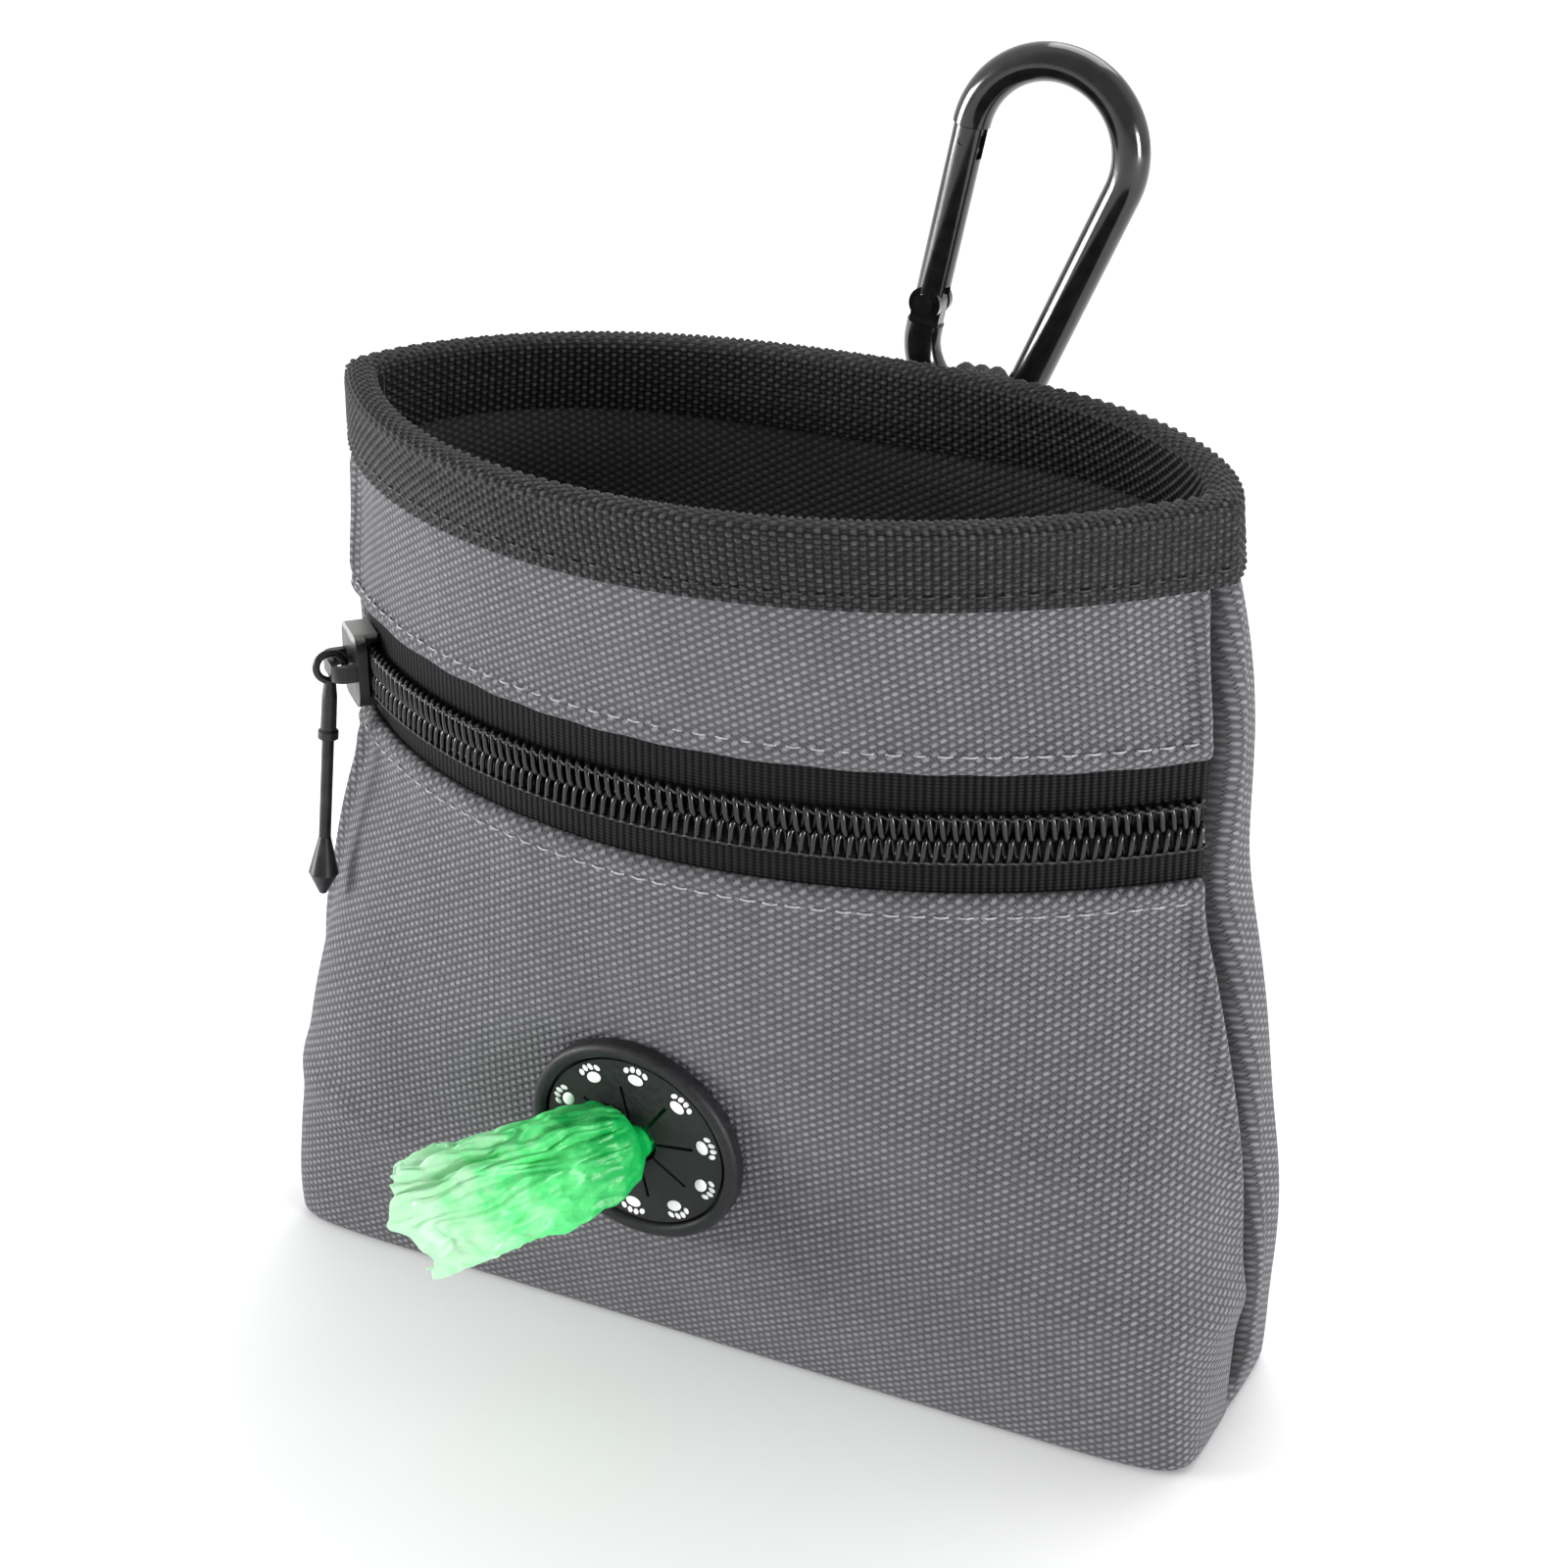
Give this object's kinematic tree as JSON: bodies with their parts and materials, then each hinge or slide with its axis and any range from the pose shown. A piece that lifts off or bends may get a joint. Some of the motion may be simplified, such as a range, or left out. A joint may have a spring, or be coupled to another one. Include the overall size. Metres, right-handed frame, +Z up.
{
  "type": "treat pouch",
  "caption": "Fabric training-treat pouch with bound open mouth, curved zip pocket, rubber bag-dispensing port with bag roll, and snap-gate carabiner on a rear webbing loop.",
  "frame": {"origin": "middle of the base, on the surface the pouch stands on", "axes": "+X to the bag's right seen from the front, -Y out of the front (port) face, +Z up towards the mouth"},
  "size_m": [0.1346, 0.0921, 0.1598],
  "materials": {
    "canvas": "mid grey heathered basket-weave oxford",
    "lining": "grey lining cloth",
    "webbing": "black woven webbing",
    "zip_tape": "black knitted zip tape",
    "coil": "satin black nylon coil",
    "thread": "light grey thread",
    "dark_thread": "black thread",
    "slider_metal": "black lacquered zinc, worn at the edges",
    "port_rubber": "matte black moulded rubber",
    "port_white": "white rubber inlay",
    "backing": "black plastic ring",
    "anodised": "gloss black anodised aluminium",
    "spring_steel": "spring steel",
    "bag_film": "thin translucent green film",
    "roll_film": "green film wound tight",
    "card": "brown card tube"
  },
  "bodies": {
    "pouch": {"front_lower_panel": "canvas", "front_upper_panel": "canvas", "back_panel": "canvas", "front_lining": "lining", "back_lining": "lining", "divider_panel": "lining", "rim_binding": "webbing", "carabiner_loop": "webbing", "zip_tape_upper": "zip_tape", "zip_tape_lower": "zip_tape", "zip_coil_upper": "coil", "zip_coil_lower": "coil", "zip_stitching_upper": "thread", "zip_stitching_lower": "thread", "rim_stitching": "dark_thread", "loop_bar_tacks": "dark_thread", "port_disc": "port_rubber", "port_marks": "port_white", "port_backing_ring": "backing"},
    "slider": {"slider_body": "slider_metal"},
    "pull": {"pull_tab": "slider_metal"},
    "carabiner": {"carabiner_frame": "anodised", "gate_pin": "spring_steel"},
    "gate": {"carabiner_gate": "anodised", "gate_spring": "spring_steel", "latch_pin": "spring_steel"},
    "roll": {"bag_roll": "roll_film", "bag_roll_core": "card"},
    "bag": {"lead_bag": "bag_film"}
  },
  "joints": [
    {"name": "zip_slide", "type": "hinge", "parent": "pouch", "child": "slider", "pos_m": [0, 0.05532, 0.081], "axis": [0, 0, 1], "range_deg": [0, 85.4]},
    {"name": "pull_lift", "type": "hinge", "parent": "slider", "child": "pull", "pos_m": [-0.0587, -0.00829, 0.081], "axis": [-0.7349, 0.6782, 0], "range_deg": [0, 150]},
    {"name": "carabiner_swing", "type": "hinge", "parent": "pouch", "child": "carabiner", "pos_m": [0.0112, 0.0377, 0.113], "axis": [1, 0, 0], "range_deg": [-95, 12]},
    {"name": "gate_open", "type": "hinge", "parent": "carabiner", "child": "gate", "pos_m": [0.00451, 0.0377, 0.12616], "axis": [0, 1, 0], "range_deg": [0, 24], "stiffness_Nm_per_rad": 0.02},
    {"name": "roll_spin", "type": "hinge", "parent": "pouch", "child": "roll", "pos_m": [-0.003, -0.0056, 0.0145], "axis": [1, 0, 0], "range_deg": [0, 50]},
    {"name": "bag_pull", "type": "slide", "parent": "pouch", "child": "bag", "axis": [0, -0.9911, -0.1329], "range_m": [0, 0.0115]}
  ],
  "couplings": [
    {"joint": "bag_pull", "follows": "roll_spin", "m_per_rad": 0.013}
  ]
}
